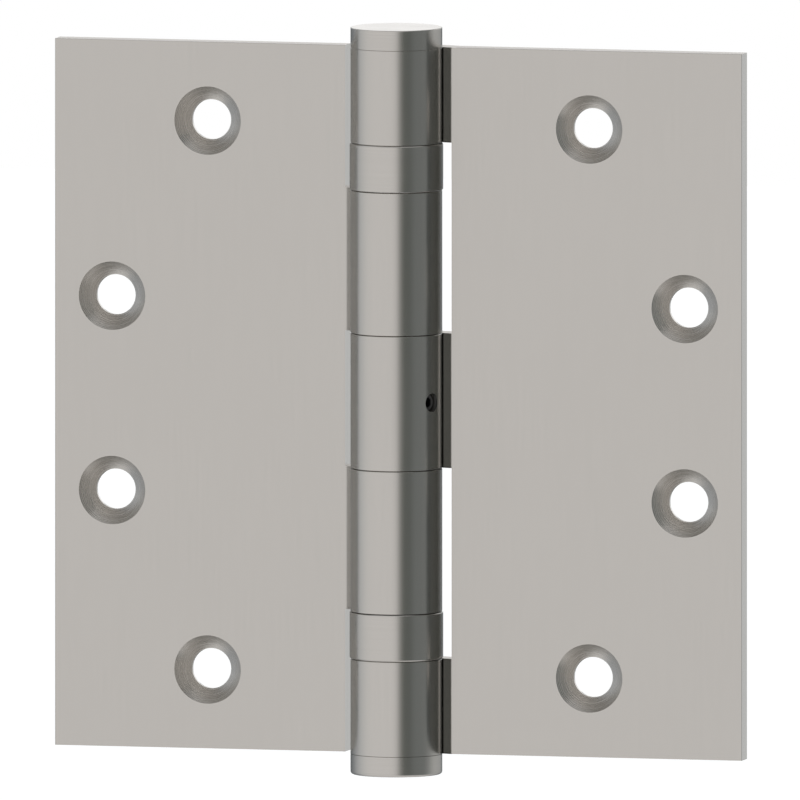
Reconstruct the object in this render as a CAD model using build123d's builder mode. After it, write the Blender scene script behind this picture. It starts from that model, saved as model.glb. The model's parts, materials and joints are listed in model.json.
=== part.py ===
from build123d import *
import os
from math import acos, atan2, cos, degrees, hypot, radians, sin, tan

# Five-knuckle full mortise butt hinge with two ball bearings, open flat.
# The origin is on the pin's axis at mid-height. +Z runs up the pin, -Y faces the countersunk side,
# +X points to the frame leaf and -X to the door leaf. Lengths are in mm, angles in degrees.

# Leaves, each pressed and rolled from one plate
hinge_height = 114.3
open_width = 114.3
gauge = 3.4
closed_gap = 2.54            # between the two front faces when the hinge is shut
bend_gap = 1.34              # between the barrel and the line where the front face turns in
front_bend_radius = 1.2
back_bend_radius = 1.5
bend_land = 0.1              # flat kept beside the bend
recess_gap = 1.3             # between a bearing cup and the leaf edge beside it
seam_gap = 0.2               # between the end of the curl and the web that it was rolled from
leaf_edge_chamfer = 0.05
knuckle_chamfer = 0.08

# Knuckles and bearings along the pin
outer_knuckle_length = 15.4
middle_knuckle_length = 21.8
knuckle_gap = 0.08
bearing_height = 7.65

# Screw holes
screw_hole_radius = 3.25
screw_head_radius = 5.53
countersink_angle = 82
end_screw_reach = 31.75
end_screw_height = 44.4
middle_screw_reach = 47.65
middle_screw_height = 15.72

# Pin and bottom plug
bore_radius = 4.0
pin_clearance = 0.075
tip_height = 3.25
pin_head_rounding = 0.15
plug_head_rounding = 0.5
pin_nose_length = 2.5
pin_nose_radius = 2.6
pin_to_plug_gap = 1.0
plug_spigot_length = 8.0
plug_spigot_clearance = 0.02
plug_spigot_chamfer = 0.5

# Set screw through the middle knuckle, its point in a groove round the pin
set_screw_angle = -24.5      # about the pin's axis, from +X
set_screw_hole_radius = 1.5
set_screw_clearance = 0.05
set_screw_recess = 0.9
set_screw_chamfer = 0.2
set_screw_point_radius = 0.5
socket_across_flats = 1.5
socket_depth = 1.6
groove_depth = 0.6
groove_floor_width = 1.2
groove_to_point_gap = 0.1

# Thrust bearings, each a drawn cup, two races, a cage and its balls
cup_proud = 0.15             # how far the cup stands out from the barrel
cup_wall = 0.6
cup_floor = 0.8
cup_shoulder = 0.4
cup_floor_fillet = 0.2
cup_rim_chamfer = 0.1
cup_hole_clearance = 0.3
race_bore_clearance = 0.15
fixed_race_clearance = 0.05
moving_race_clearance = 0.2
race_chamfer = 0.6
race_groove_depth = 0.35
ball_radius = 0.992
ball_clearance = 0.05
ball_count = 12
cage_thickness = 0.9
pocket_clearance = 0.07

# Places that follow from the sizes above
half_height = hinge_height / 2
leaf_reach = open_width / 2
barrel_radius = bore_radius + gauge
leaf_front = closed_gap / 2
leaf_back = leaf_front + gauge
bend_reach = barrel_radius + bend_gap
recess_reach = barrel_radius + cup_proud + recess_gap
outer_knuckle_end = half_height - outer_knuckle_length
inner_knuckle_end = outer_knuckle_end - bearing_height
middle_knuckle_end = middle_knuckle_length / 2
inner_knuckle_start = middle_knuckle_end + knuckle_gap
pin_radius = bore_radius - pin_clearance

# The web between plate and curl touches the bore circle in front and the barrel circle behind.
web_angle = degrees(atan2(leaf_front, bend_reach) + acos(bore_radius / hypot(bend_reach, leaf_front)))
back_bend_reach = (barrel_radius - leaf_back * sin(radians(web_angle))) / cos(radians(web_angle))
bend_slope = tan(radians(90 - web_angle) / 2)
front_bend_end = bend_reach + front_bend_radius * bend_slope
back_bend_end = back_bend_reach + back_bend_radius * bend_slope
fold_reach = max(front_bend_end, back_bend_end, recess_reach) + bend_land
web_front_angle = web_angle - degrees(acos(bore_radius / barrel_radius))
curl_end_angle = web_front_angle - degrees(seam_gap / barrel_radius)
curl_turn = 360 - web_angle + curl_end_angle

# Bearing radii, and its levels as heights above the inner knuckle's end
cup_radius = barrel_radius + cup_proud
cup_inner_radius = cup_radius - cup_wall
race_bore_radius = bore_radius + race_bore_clearance
moving_race_radius = cup_inner_radius - moving_race_clearance
pitch_radius = (race_bore_radius + moving_race_radius) / 2
race_gap = 2 * (ball_radius + ball_clearance - race_groove_depth)
race_thickness = (bearing_height - cup_floor - race_gap) / 2
ball_level = race_thickness + race_gap / 2


def corner_at(section, place):
    """The corner of a section that lies at a place."""
    return section.vertices().sort_by_distance(place)[0]


def leaf(side, knuckles):
    """A leaf towards +X (side 1) or -X (side -1), with a web and a curl for each knuckle."""

    def around_pin(radius, angle):
        return (side * radius * cos(radians(angle)), radius * sin(radians(angle)))

    front = Plane.XZ.offset(-leaf_front)
    curl_start = radians(web_angle if side > 0 else 180 - curl_end_angle)
    curl_plane = Plane(
        origin=(0, 0, 0),
        x_dir=(cos(curl_start), sin(curl_start), 0),
        z_dir=(sin(curl_start), -cos(curl_start), 0),
    )
    with BuildPart() as made:
        # Flat plate with broken outer edges
        with BuildSketch(front):
            with Locations((side * (recess_reach + leaf_reach) / 2, 0)):
                Rectangle(leaf_reach - recess_reach, hinge_height)
        extrude(amount=-gauge)
        outer_end = made.faces().sort_by(Axis.X)[-1 if side > 0 else 0]
        long_edges = made.edges().filter_by(Axis.X) + outer_end.edges().filter_by(Axis.Z)
        chamfer(long_edges, leaf_edge_chamfer)

        # Countersunk screw holes
        with Locations(front):
            with Locations(
                (side * end_screw_reach, end_screw_height),
                (side * end_screw_reach, -end_screw_height),
                (side * middle_screw_reach, middle_screw_height),
                (side * middle_screw_reach, -middle_screw_height),
            ):
                CounterSinkHole(screw_hole_radius, screw_head_radius, None, countersink_angle)

        # Room in the plate for the bends
        with BuildSketch(front):
            for low, high in knuckles:
                with Locations((side * (recess_reach + fold_reach) / 2, (low + high) / 2)):
                    Rectangle(fold_reach - recess_reach, high - low)
        extrude(amount=-gauge, mode=Mode.SUBTRACT)

        # Bends, webs and curls
        for low, high in knuckles:
            with BuildSketch(Plane.XY.offset(low)) as web_section:
                with BuildLine():
                    Polyline(
                        around_pin(bore_radius, web_angle),
                        around_pin(barrel_radius, web_angle),
                        (side * back_bend_reach, leaf_back),
                        (side * fold_reach, leaf_back),
                        (side * fold_reach, leaf_front),
                        (side * bend_reach, leaf_front),
                        close=True,
                    )
                make_face()
                fillet(corner_at(web_section, (side * back_bend_reach, leaf_back)), back_bend_radius)
                fillet(corner_at(web_section, (side * bend_reach, leaf_front)), front_bend_radius)
            extrude(amount=high - low)
            with BuildSketch(curl_plane):
                with BuildLine():
                    Polyline(
                        (bore_radius, low),
                        (barrel_radius - knuckle_chamfer, low),
                        (barrel_radius, low + knuckle_chamfer),
                        (barrel_radius, high - knuckle_chamfer),
                        (barrel_radius - knuckle_chamfer, high),
                        (bore_radius, high),
                        close=True,
                    )
                make_face()
            revolve(axis=Axis.Z, revolution_arc=curl_turn)
    return made.part


screw_direction = (cos(radians(set_screw_angle)), sin(radians(set_screw_angle)), 0)
screw_axis = Plane(origin=(0, 0, 0), x_dir=(0, 0, 1), z_dir=screw_direction)
frame_knuckles = [
    (outer_knuckle_end, half_height),
    (-middle_knuckle_end, middle_knuckle_end),
    (-half_height, -outer_knuckle_end),
]
door_knuckles = [
    (inner_knuckle_start, inner_knuckle_end),
    (-inner_knuckle_end, -inner_knuckle_start),
]
with BuildPart() as frame_leaf:
    add(leaf(1, frame_knuckles))
    # Threaded hole for the set screw
    with BuildSketch(screw_axis):
        Circle(set_screw_hole_radius)
    extrude(amount=barrel_radius + set_screw_hole_radius, mode=Mode.SUBTRACT)
with BuildPart() as door_leaf:
    add(leaf(-1, door_knuckles))
frame_leaf.part.label = "frame_leaf"
door_leaf.part.label = "door_leaf"

# Hinge pin with its flat head, a groove at mid-height and a tapered nose
spigot_end = -half_height + plug_spigot_length
pin_end = spigot_end + pin_to_plug_gap
groove_radius = pin_radius - groove_depth
groove_half_width = groove_floor_width / 2
with BuildPart() as hinge_pin:
    with BuildSketch(Plane.XZ) as pin_section:
        with BuildLine():
            Polyline(
                (0, pin_end),
                (pin_nose_radius, pin_end),
                (pin_radius, pin_end + pin_nose_length),
                (pin_radius, -groove_half_width - groove_depth),
                (groove_radius, -groove_half_width),
                (groove_radius, groove_half_width),
                (pin_radius, groove_half_width + groove_depth),
                (pin_radius, half_height),
                (barrel_radius, half_height),
                (barrel_radius, half_height + tip_height),
                (0, half_height + tip_height),
                close=True,
            )
        make_face()
        fillet(corner_at(pin_section, (barrel_radius, half_height + tip_height)), pin_head_rounding)
    revolve(axis=Axis.Z)
hinge_pin.part.label = "hinge_pin"

# Bottom plug, a head like the pin's with a spigot up the lowest knuckle
spigot_radius = bore_radius - plug_spigot_clearance
with BuildPart() as bottom_plug:
    with BuildSketch(Plane.XZ) as plug_section:
        with BuildLine():
            Polyline(
                (0, -half_height - tip_height),
                (barrel_radius, -half_height - tip_height),
                (barrel_radius, -half_height),
                (spigot_radius, -half_height),
                (spigot_radius, spigot_end - plug_spigot_chamfer),
                (spigot_radius - plug_spigot_chamfer, spigot_end),
                (0, spigot_end),
                close=True,
            )
        make_face()
        fillet(corner_at(plug_section, (barrel_radius, -half_height - tip_height)), plug_head_rounding)
    revolve(axis=Axis.Z)
bottom_plug.part.label = "bottom_plug"

# Set screw with a cone point and a hexagon socket
set_screw_radius = set_screw_hole_radius - set_screw_clearance
screw_tip = groove_radius + groove_to_point_gap
screw_shoulder = screw_tip + set_screw_radius - set_screw_point_radius
screw_top = barrel_radius - set_screw_recess
across_corners_radius = socket_across_flats / 2 / cos(radians(30))
screw_section = Plane(origin=(0, 0, 0), x_dir=(0, 0, 1), z_dir=(-screw_direction[1], screw_direction[0], 0))
with BuildPart() as set_screw:
    with BuildSketch(screw_section):
        with BuildLine():
            Polyline(
                (0, screw_tip),
                (set_screw_point_radius, screw_tip),
                (set_screw_radius, screw_shoulder),
                (set_screw_radius, screw_top - set_screw_chamfer),
                (set_screw_radius - set_screw_chamfer, screw_top),
                (0, screw_top),
                close=True,
            )
        make_face()
    revolve(axis=Axis((0, 0, 0), screw_direction))
    with BuildSketch(screw_axis.offset(screw_top)):
        RegularPolygon(across_corners_radius, 6)
    extrude(amount=-socket_depth, mode=Mode.SUBTRACT)
set_screw.part.label = "set_screw"


def bearing_cup(side):
    """Drawn cup, closed against the outer knuckle and open towards the inner one."""
    closed_end = side * outer_knuckle_end
    floor = side * (outer_knuckle_end - cup_floor)
    rim = side * (inner_knuckle_end + knuckle_gap)
    hole_radius = bore_radius + cup_hole_clearance
    with BuildPart() as made:
        with BuildSketch(Plane.XZ) as section:
            with BuildLine():
                Polyline(
                    (hole_radius, closed_end),
                    (cup_radius, closed_end),
                    (cup_radius, rim),
                    (cup_inner_radius, rim),
                    (cup_inner_radius, floor),
                    (hole_radius, floor),
                    close=True,
                )
            make_face()
            fillet(corner_at(section, (cup_radius, closed_end)), cup_shoulder)
            fillet(corner_at(section, (cup_inner_radius, floor)), cup_floor_fillet)
            chamfer(corner_at(section, (cup_radius, rim)), cup_rim_chamfer)
        revolve(axis=Axis.Z)
    return made


def race(side, level, radius, groove_side):
    """Hardened washer with a ball groove, its lower face at a level above the inner knuckle."""
    middle = side * (inner_knuckle_end + level + race_thickness / 2)
    with BuildPart() as made:
        with BuildSketch(Plane.XZ) as section:
            with Locations(((race_bore_radius + radius) / 2, middle)):
                Rectangle(radius - race_bore_radius, race_thickness)
            back_corner = (radius, middle - side * groove_side * race_thickness / 2)
            chamfer(corner_at(section, back_corner), race_chamfer)
            with Locations((pitch_radius, side * (inner_knuckle_end + ball_level))):
                Circle(ball_radius + ball_clearance, mode=Mode.SUBTRACT)
        revolve(axis=Axis.Z)
    return made


def ball_cage(side):
    """Flat ring with a pocket for each ball."""
    middle = side * (inner_knuckle_end + ball_level)
    with BuildPart() as made:
        with BuildSketch(Plane.XY.offset(middle - cage_thickness / 2)):
            Circle(moving_race_radius)
            Circle(race_bore_radius, mode=Mode.SUBTRACT)
            with PolarLocations(pitch_radius, ball_count):
                Circle(ball_radius + pocket_clearance, mode=Mode.SUBTRACT)
        extrude(amount=cage_thickness)
    return made


def ball(side, number):
    """One ball in its pocket, counted round the pin from +X."""
    angle = radians(360 * (number - 1) / ball_count)
    level = side * (inner_knuckle_end + ball_level)
    with BuildPart() as made:
        with Locations((pitch_radius * cos(angle), pitch_radius * sin(angle), level)):
            Sphere(ball_radius)
    return made


pieces = [frame_leaf, door_leaf, hinge_pin, bottom_plug, set_screw]
fixed_race_radius = cup_inner_radius - fixed_race_clearance
for end_name, side in (("upper", 1), ("lower", -1)):
    bearing = {
        "bearing_cup": bearing_cup(side),
        "fixed_race": race(side, race_thickness + race_gap, fixed_race_radius, -1),
        "moving_race": race(side, 0, moving_race_radius, 1),
        "ball_cage": ball_cage(side),
    }
    for number in range(1, ball_count + 1):
        bearing[f"ball_{number:02d}"] = ball(side, number)
    for name, piece in bearing.items():
        piece.part.label = f"{end_name}_{name}"
        pieces.append(piece)

os.makedirs("parts", exist_ok=True)
for piece in pieces:
    export_step(piece.part, f"parts/{piece.part.label}.step")
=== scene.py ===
import bpy
import json
import math
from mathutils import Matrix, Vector

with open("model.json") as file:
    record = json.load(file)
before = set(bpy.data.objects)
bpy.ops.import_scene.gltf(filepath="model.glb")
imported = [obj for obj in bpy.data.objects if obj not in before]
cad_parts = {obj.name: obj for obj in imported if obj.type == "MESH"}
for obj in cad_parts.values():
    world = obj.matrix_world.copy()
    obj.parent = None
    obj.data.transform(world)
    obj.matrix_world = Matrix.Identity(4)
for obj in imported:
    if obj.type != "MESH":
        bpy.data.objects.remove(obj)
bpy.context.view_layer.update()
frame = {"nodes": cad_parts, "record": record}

MM = 0.001

# The photograph's view: parallel, a little to the right of the pin and above it
VIEW_AZIMUTH = 14.5
VIEW_ELEVATION = 5.2
FRAME_WIDTH = 128.89 * MM
CAMERA_DISTANCE = 1.0
AIM_RIGHT = 0.58 * MM
AIM_UP = 0.04 * MM

# Floor, glowing a little so that it looks as white as the background
FLOOR_LEVEL = -105 * MM
FLOOR_REACH = 1.5
FLOOR_PAINT = (0.82, 0.82, 0.82)
FLOOR_GLOW = 0.46

# The studio round the object, in degrees from the front (-Y) towards +X, as red, green and blue levels:
# a wide soft light in front and to the left, a dark card to the right and a pale room behind
STUDIO_RING = [
    (-180, (0.22, 0.23, 0.23)),
    (-156, (0.24, 0.25, 0.25)),
    (-140, (0.36, 0.375, 0.39)),
    (-121, (0.45, 0.475, 0.50)),
    (-105, (0.62, 0.65, 0.68)),
    (-88, (0.77, 0.80, 0.82)),
    (-66, (0.94, 0.95, 0.95)),
    (-45, (0.98, 0.98, 0.98)),
    (4, (0.98, 0.98, 0.98)),
    (14, (0.88, 0.88, 0.88)),
    (26, (0.30, 0.31, 0.30)),
    (34, (0.17, 0.185, 0.175)),
    (48, (0.18, 0.195, 0.19)),
    (62, (0.25, 0.27, 0.27)),
    (84, (0.26, 0.28, 0.28)),
    (92, (0.28, 0.30, 0.30)),
    (102, (0.38, 0.40, 0.40)),
    (109, (0.48, 0.50, 0.50)),
    (125, (0.64, 0.66, 0.66)),
    (145, (0.67, 0.68, 0.68)),
    (158, (0.70, 0.70, 0.70)),
    (168, (0.64, 0.65, 0.65)),
    (177, (0.32, 0.33, 0.33)),
    (180, (0.22, 0.23, 0.23)),
]
WALL_BEHIND = (1.22, 1.22, 1.22)
CEILING = (0.58, 0.59, 0.60)
FLOOR_BELOW = (0.92, 0.92, 0.92)

# Where the wall, the ceiling and the floor below fade in, as the Y or Z of a direction
WALL_SIDES = (0.3, 0.8)
WALL_FOOT = (-0.03, 0.05)
CEILING_START = (0.65, 0.92)
FLOOR_START = (-0.45, -0.85)

# Screw holes: reach from the pin's axis and height from the middle, the same on every side
SCREW_HOLES = [(31.75 * MM, 44.4 * MM), (47.65 * MM, 15.72 * MM)]
COUNTERSINK_RADIUS = 5.56 * MM
COUNTERSINK_RIM = 0.06 * MM     # over which the cone's finish sets in
CUTTER_RUN_IN = 0.5 * MM        # over which the cutter's marks set in
COUNTERSINK_END = 4.2 * MM      # along Y, between the cone's end and the leaf's back
BACK_FADE = 0.1 * MM
BARREL_REACH = 7.6 * MM         # along X, beyond it only the plates
BARREL_FADE = 0.4 * MM

# Satin steel: brushed grain along the pin, cutter's rings in the countersinks
STEEL = (0.502, 0.479, 0.451)
# Lighter colour of the plates' edges along the pin: a painted highlight
EDGE_PAINTED_LIGHT = (0.63, 0.62, 0.60)
# Darker, cooler reflection colour at grazing angles: painted shade where curved faces turn away from view
GRAZING_PAINTED_SHADE = (0.57, 0.60, 0.62)
SATIN_ROUGHNESS = 0.22
SHEARED_ROUGHNESS = 0.42
CONE_BRIGHTNESS = 1.10
GRAIN_STRETCH = 0.04
FINE_GRAIN = 9000
BROAD_GRAIN = 1500
FINE_SHARE = 0.6
GRAIN_TINT = 0.012
GRAIN_DEPTH = 0.07
CLOUD_SCALE = 55
CUTTER_RINGS = 5200
CUTTER_TINT = 0.14
CUTTER_DEPTH = 0.45
WANDER_SCALE = 420
WANDER = 0.35 * MM
RELIEF = 0.02 * MM

# Black oxide on the set screw
OXIDE_COLOR = (0.13, 0.13, 0.134)
OXIDE_SPECKLE = 6000
OXIDE_RELIEF = 0.01 * MM

# The range in which most values of a noise lie
NOISE_RANGE = (0.3, 0.7)


def add_node(tree, kind, inputs=None, **settings):
    """A node with its settings and its inputs, each either a value or another node's output."""
    made = tree.nodes.new("ShaderNode" + kind)
    for name, value in settings.items():
        setattr(made, name, value)
    for name, value in (inputs or {}).items():
        if isinstance(value, bpy.types.NodeSocket):
            tree.links.new(value, made.inputs[name])
        else:
            made.inputs[name].default_value = value
    return made


def math_of(tree, operation, first, second=0.0):
    return add_node(tree, "Math", {0: first, 1: second}, operation=operation).outputs[0]


def ramp_of(tree, value, low, high, start=0.0, end=1.0):
    """A smooth step of value between low and high."""
    inputs = {"Value": value, "From Min": low, "From Max": high, "To Min": start, "To Max": end}
    return add_node(tree, "MapRange", inputs, interpolation_type="SMOOTHSTEP").outputs["Result"]


def length_of(tree, first, second):
    pair = add_node(tree, "CombineXYZ", {0: first, 1: second})
    return add_node(tree, "VectorMath", {0: pair.outputs[0]}, operation="LENGTH").outputs["Value"]


def mix_values(tree, factor, first, second):
    return add_node(tree, "Mix", {0: factor, 2: first, 3: second}).outputs[0]


def mix_colors(tree, factor, first, second, blend="MIX"):
    made = add_node(tree, "Mix", data_type="RGBA", blend_type=blend)
    for index, value in ((0, factor), (6, first), (7, second)):
        if isinstance(value, bpy.types.NodeSocket):
            tree.links.new(value, made.inputs[index])
        else:
            made.inputs[index].default_value = value
    return made.outputs[2]


def mix_shaders(tree, factor, first, second):
    return add_node(tree, "MixShader", {0: factor, 1: first.outputs[0], 2: second.outputs[0]})


def add_camera():
    azimuth, elevation = math.radians(VIEW_AZIMUTH), math.radians(VIEW_ELEVATION)
    back = Vector((
        math.sin(azimuth) * math.cos(elevation),
        -math.cos(azimuth) * math.cos(elevation),
        math.sin(elevation),
    ))
    right = Vector((math.cos(azimuth), math.sin(azimuth), 0))
    up = back.cross(right)
    data = bpy.data.cameras.new("camera")
    data.type = "ORTHO"
    data.ortho_scale = FRAME_WIDTH
    camera = bpy.data.objects.new("camera", data)
    bpy.context.scene.collection.objects.link(camera)
    camera.rotation_mode = "QUATERNION"
    camera.rotation_quaternion = (-back).to_track_quat("-Z", "Y")
    camera.location = right * AIM_RIGHT + up * AIM_UP + back * CAMERA_DISTANCE
    bpy.context.scene.camera = camera


def add_world():
    world = bpy.data.worlds.new("studio")
    bpy.context.scene.world = world
    world.use_nodes = True
    tree = world.node_tree
    tree.nodes.clear()
    coords = add_node(tree, "TexCoord")
    direction = add_node(tree, "SeparateXYZ", {0: coords.outputs["Generated"]})
    to_front = math_of(tree, "MULTIPLY", direction.outputs["Y"], -1.0)
    turn = math_of(tree, "ARCTAN2", direction.outputs["X"], to_front)
    share = add_node(tree, "MapRange", {"Value": turn, "From Min": -math.pi, "From Max": math.pi})
    ring = add_node(tree, "ValToRGB", {0: share.outputs["Result"]})
    elements = ring.color_ramp.elements
    elements.remove(elements[-1])
    for index, (azimuth, color) in enumerate(STUDIO_RING):
        element = elements[0] if index == 0 else elements.new((azimuth + 180) / 360)
        element.position = (azimuth + 180) / 360
        element.color = (*color, 1)

    # White wall behind from the horizon up, grey ceiling and pale floor
    rise = direction.outputs["Z"]
    behind = ramp_of(tree, direction.outputs["Y"], *WALL_SIDES)
    wall = math_of(tree, "MULTIPLY", behind, ramp_of(tree, rise, *WALL_FOOT))
    room = mix_colors(tree, wall, ring.outputs["Color"], (*WALL_BEHIND, 1))
    room = mix_colors(tree, ramp_of(tree, rise, *CEILING_START), room, (*CEILING, 1))
    room = mix_colors(tree, ramp_of(tree, rise, *FLOOR_START), room, (*FLOOR_BELOW, 1))
    studio = add_node(tree, "Background", {"Color": room})
    white = add_node(tree, "Background", {"Color": (1, 1, 1, 1)})
    path = add_node(tree, "LightPath")
    shown = mix_shaders(tree, path.outputs["Is Camera Ray"], studio, white)
    add_node(tree, "OutputWorld", {"Surface": shown.outputs[0]})


def add_floor():
    mesh = bpy.data.meshes.new("floor")
    square = ((-1, -1), (1, -1), (1, 1), (-1, 1))
    corners = [(x * FLOOR_REACH, y * FLOOR_REACH, FLOOR_LEVEL) for x, y in square]
    mesh.from_pydata(corners, [], [(0, 1, 2, 3)])
    floor = bpy.data.objects.new("floor", mesh)
    bpy.context.scene.collection.objects.link(floor)
    material = bpy.data.materials.new("pale floor")
    material.use_nodes = True
    tree = material.node_tree
    tree.nodes.clear()
    path = add_node(tree, "LightPath")
    seen = math_of(tree, "MAXIMUM", path.outputs["Is Camera Ray"], path.outputs["Is Transmission Ray"])
    glow = math_of(tree, "MULTIPLY", seen, FLOOR_GLOW)
    paint = add_node(tree, "BsdfDiffuse", {"Color": (*FLOOR_PAINT, 1)})
    light = add_node(tree, "Emission", {"Color": (1, 1, 1, 1), "Strength": glow})
    both = add_node(tree, "AddShader", {0: paint.outputs[0], 1: light.outputs[0]})
    # Metal sees the pale lower half of the studio through it
    clear = add_node(tree, "BsdfTransparent")
    shown = mix_shaders(tree, path.outputs["Is Glossy Ray"], both, clear)
    add_node(tree, "OutputMaterial", {"Surface": shown.outputs[0]})
    mesh.materials.append(material)


def new_metal(name, roughness):
    material = bpy.data.materials.new(name)
    material.use_nodes = True
    tree = material.node_tree
    shader = tree.nodes["Principled BSDF"]
    shader.inputs["Metallic"].default_value = 1.0
    shader.inputs["Roughness"].default_value = roughness
    return material, tree, shader


def noise_of(tree, vector, scale, detail=2.0):
    inputs = {"Vector": vector, "Scale": scale, "Detail": detail}
    return add_node(tree, "TexNoise", inputs).outputs["Fac"]


def tinted(tree, color, share, amount):
    """A colour that varies by amount, up and down, as share runs from 0 to 1."""
    level = ramp_of(tree, share, 0.25, 0.75, 1 - amount, 1 + amount)
    grey = add_node(tree, "CombineColor", {0: level, 1: level, 2: level}).outputs[0]
    return mix_colors(tree, 1.0, (*color, 1), grey, blend="MULTIPLY")


def rough_around(tree, noise, roughness, spread):
    return ramp_of(tree, noise, *NOISE_RANGE, roughness - spread, roughness + spread)


def add_relief(tree, shader, height, strength, distance=RELIEF):
    bump = add_node(tree, "Bump", {"Strength": strength, "Distance": distance, "Height": height})
    tree.links.new(bump.outputs[0], shader.inputs["Normal"])


def facing_along(tree, coords, axis, low=0.85, high=0.97):
    """1 on faces that look along an axis of the object, 0 on the others."""
    normal = add_node(tree, "SeparateXYZ", {0: coords.outputs["Normal"]})
    return ramp_of(tree, math_of(tree, "ABSOLUTE", normal.outputs[axis]), low, high)


def paint_shade_at_grazing(tree, shader, bare):
    """Painted shade: darker and cooler reflections at grazing angles, where curved faces turn away from
    view, apart from where bare is 1.
    """
    tint = mix_colors(tree, bare, (*GRAZING_PAINTED_SHADE, 1), (1, 1, 1, 1))
    tree.links.new(tint, shader.inputs["Specular Tint"])


def brushed_grain(tree, place):
    """Fine and broad streaks along the pin."""
    stretched = add_node(tree, "Mapping", {"Vector": place, "Scale": (1.0, 1.0, GRAIN_STRETCH)}).outputs[0]
    fine = math_of(tree, "MULTIPLY", noise_of(tree, stretched, FINE_GRAIN, 3.0), FINE_SHARE)
    broad = math_of(tree, "MULTIPLY", noise_of(tree, stretched, BROAD_GRAIN), 1 - FINE_SHARE)
    return math_of(tree, "ADD", fine, broad)


def distance_to_screw_hole(tree, across, height):
    """Distance to the nearest screw hole's axis, which runs along Y."""
    distances = []
    for reach, level in SCREW_HOLES:
        along = math_of(tree, "SUBTRACT", across, reach)
        rise = math_of(tree, "SUBTRACT", height, level)
        distances.append(length_of(tree, along, rise))
    return math_of(tree, "MINIMUM", *distances)


def cutter_rings(tree, place, distance):
    """Rings left by the countersinking cutter, a little out of round."""
    wander = math_of(tree, "MULTIPLY", noise_of(tree, place, WANDER_SCALE), WANDER)
    ring_place = add_node(tree, "CombineXYZ", {0: math_of(tree, "ADD", distance, wander)})
    return noise_of(tree, ring_place.outputs[0], CUTTER_RINGS)


def brushed_steel(name):
    """Satin sheet steel with brushed faces, cut edges and turned countersinks, a painted highlight on the
    plates' edges along the pin and painted shade at grazing angles.
    """
    material, tree, shader = new_metal(name, SATIN_ROUGHNESS)
    coords = add_node(tree, "TexCoord")
    place = coords.outputs["Object"]
    axes = add_node(tree, "SeparateXYZ", {0: place})
    across = math_of(tree, "ABSOLUTE", axes.outputs["X"])
    height = math_of(tree, "ABSOLUTE", axes.outputs["Z"])
    grain = brushed_grain(tree, place)

    # Countersinks, on the front of the leaves only
    nearest = distance_to_screw_hole(tree, across, height)
    rings = cutter_rings(tree, place, nearest)
    before_back = ramp_of(tree, axes.outputs["Y"], COUNTERSINK_END + BACK_FADE, COUNTERSINK_END)
    past_rim = ramp_of(tree, nearest, COUNTERSINK_RADIUS, COUNTERSINK_RADIUS - COUNTERSINK_RIM)
    past_run_in = ramp_of(tree, nearest, COUNTERSINK_RADIUS, COUNTERSINK_RADIUS - CUTTER_RUN_IN)
    inside = math_of(tree, "MULTIPLY", past_rim, before_back)
    marked = math_of(tree, "MULTIPLY", past_run_in, before_back)

    # The plates' edges along the pin get a painted highlight, a lighter colour, and their ends across it
    # are sheared, not brushed
    on_plate = ramp_of(tree, across, BARREL_REACH, BARREL_REACH + BARREL_FADE)
    painted_light_edge = math_of(tree, "MULTIPLY", facing_along(tree, coords, "X", 0.6, 0.7), on_plate)
    sheared = facing_along(tree, coords, "Z")

    face_color = tinted(tree, STEEL, grain, GRAIN_TINT)
    # Painted highlight: the plates' edges along the pin take the lighter colour
    leaf_color = mix_colors(tree, painted_light_edge, face_color, tinted(tree, EDGE_PAINTED_LIGHT, grain, GRAIN_TINT))
    cone_color = tinted(tree, [level * CONE_BRIGHTNESS for level in STEEL], rings, CUTTER_TINT)
    tree.links.new(mix_colors(tree, inside, leaf_color, cone_color), shader.inputs["Base Color"])
    cut_faces = math_of(tree, "MAXIMUM", painted_light_edge, sheared)
    # Painted shade at grazing angles, not on the cut faces and the countersinks
    paint_shade_at_grazing(tree, shader, math_of(tree, "MAXIMUM", cut_faces, inside))

    cloud = noise_of(tree, place, CLOUD_SCALE, 3.0)
    rough_face = rough_around(tree, cloud, SATIN_ROUGHNESS, 0.015)
    rough_leaf = mix_values(tree, sheared, rough_face, SHEARED_ROUGHNESS)
    rough_cone = rough_around(tree, rings, SATIN_ROUGHNESS + 0.04, 0.04)
    tree.links.new(mix_values(tree, inside, rough_leaf, rough_cone), shader.inputs["Roughness"])
    depth = mix_values(tree, inside, GRAIN_DEPTH, CUTTER_DEPTH)
    add_relief(tree, shader, mix_values(tree, marked, grain, rings), depth)
    return material


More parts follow.
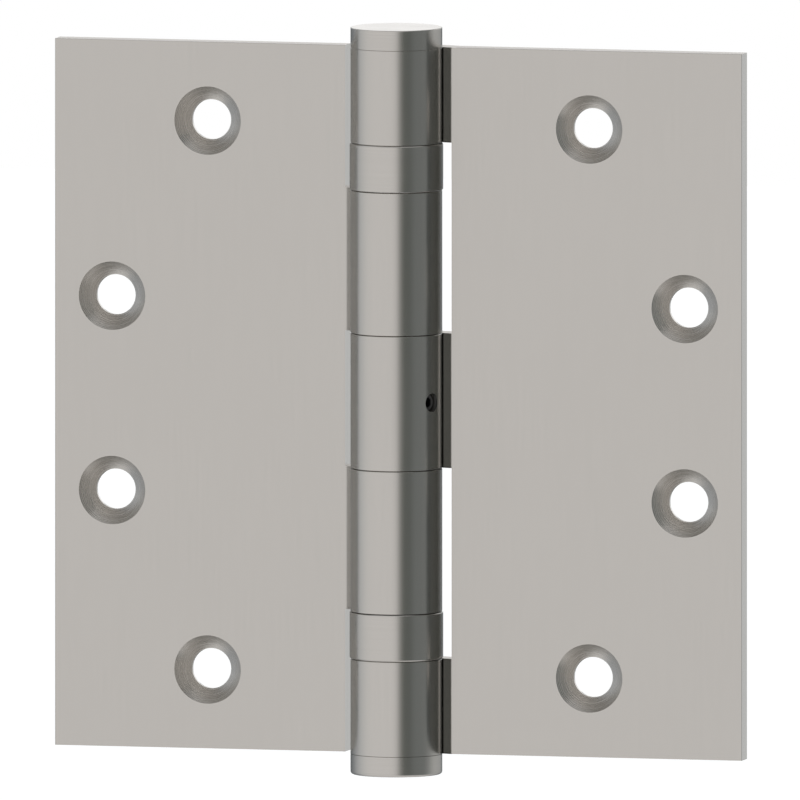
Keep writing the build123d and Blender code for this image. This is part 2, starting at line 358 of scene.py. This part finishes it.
def turned_metal(name, color, roughness, ring_scale, depth, variation=0.03):
    """Metal turned or drawn round the pin's axis, with fine rings on its sides and ends."""
    material, tree, shader = new_metal(name, roughness)
    coords = add_node(tree, "TexCoord")
    place = coords.outputs["Object"]
    axes = add_node(tree, "SeparateXYZ", {0: place})
    radius = length_of(tree, axes.outputs["X"], axes.outputs["Y"])
    ring_place = add_node(tree, "CombineXYZ", {0: radius, 1: axes.outputs["Z"]})
    rings = noise_of(tree, ring_place.outputs[0], ring_scale, 3.0)
    cloud = noise_of(tree, place, 180, 3.0)
    tree.links.new(tinted(tree, color, rings, variation), shader.inputs["Base Color"])
    # Painted shade at grazing angles on the turned sides, not on the ends
    paint_shade_at_grazing(tree, shader, facing_along(tree, coords, "Z"))
    tree.links.new(rough_around(tree, cloud, roughness, 0.02), shader.inputs["Roughness"])
    add_relief(tree, shader, rings, depth)
    return material


def black_oxide(name, roughness=0.45):
    material, tree, shader = new_metal(name, roughness)
    place = add_node(tree, "TexCoord").outputs["Object"]
    speckle = noise_of(tree, place, OXIDE_SPECKLE, 3.0)
    tree.links.new(tinted(tree, OXIDE_COLOR, speckle, 0.25), shader.inputs["Base Color"])
    tree.links.new(rough_around(tree, speckle, roughness, 0.07), shader.inputs["Roughness"])
    add_relief(tree, shader, speckle, 0.2, OXIDE_RELIEF)
    return material


def dress_nodes():
    finishes = {
        "leaf_steel": brushed_steel("satin leaf steel"),
        "pin_steel": turned_metal("turned pin steel", STEEL, SATIN_ROUGHNESS, 4200, 0.10),
        "cup_steel": turned_metal("drawn cup steel", STEEL, SATIN_ROUGHNESS, 3600, 0.06, 0.015),
        "race_steel": turned_metal("ground race steel", (0.56, 0.55, 0.53), 0.16, 9000, 0.15),
        "ball_steel": turned_metal("polished ball steel", (0.62, 0.61, 0.60), 0.06, 2500, 0.02, 0.01),
        "cage_brass": turned_metal("stamped cage brass", (0.72, 0.53, 0.24), 0.24, 6000, 0.12),
        "set_screw_steel": black_oxide("black oxide"),
    }
    for part in frame["record"]["subparts"]:
        for slot in frame["nodes"][part["node"]].material_slots:
            slot.material = finishes[part["material_slot"]]


add_camera()
add_world()
add_floor()
dress_nodes()
bpy.context.scene.view_settings.view_transform = "Standard"
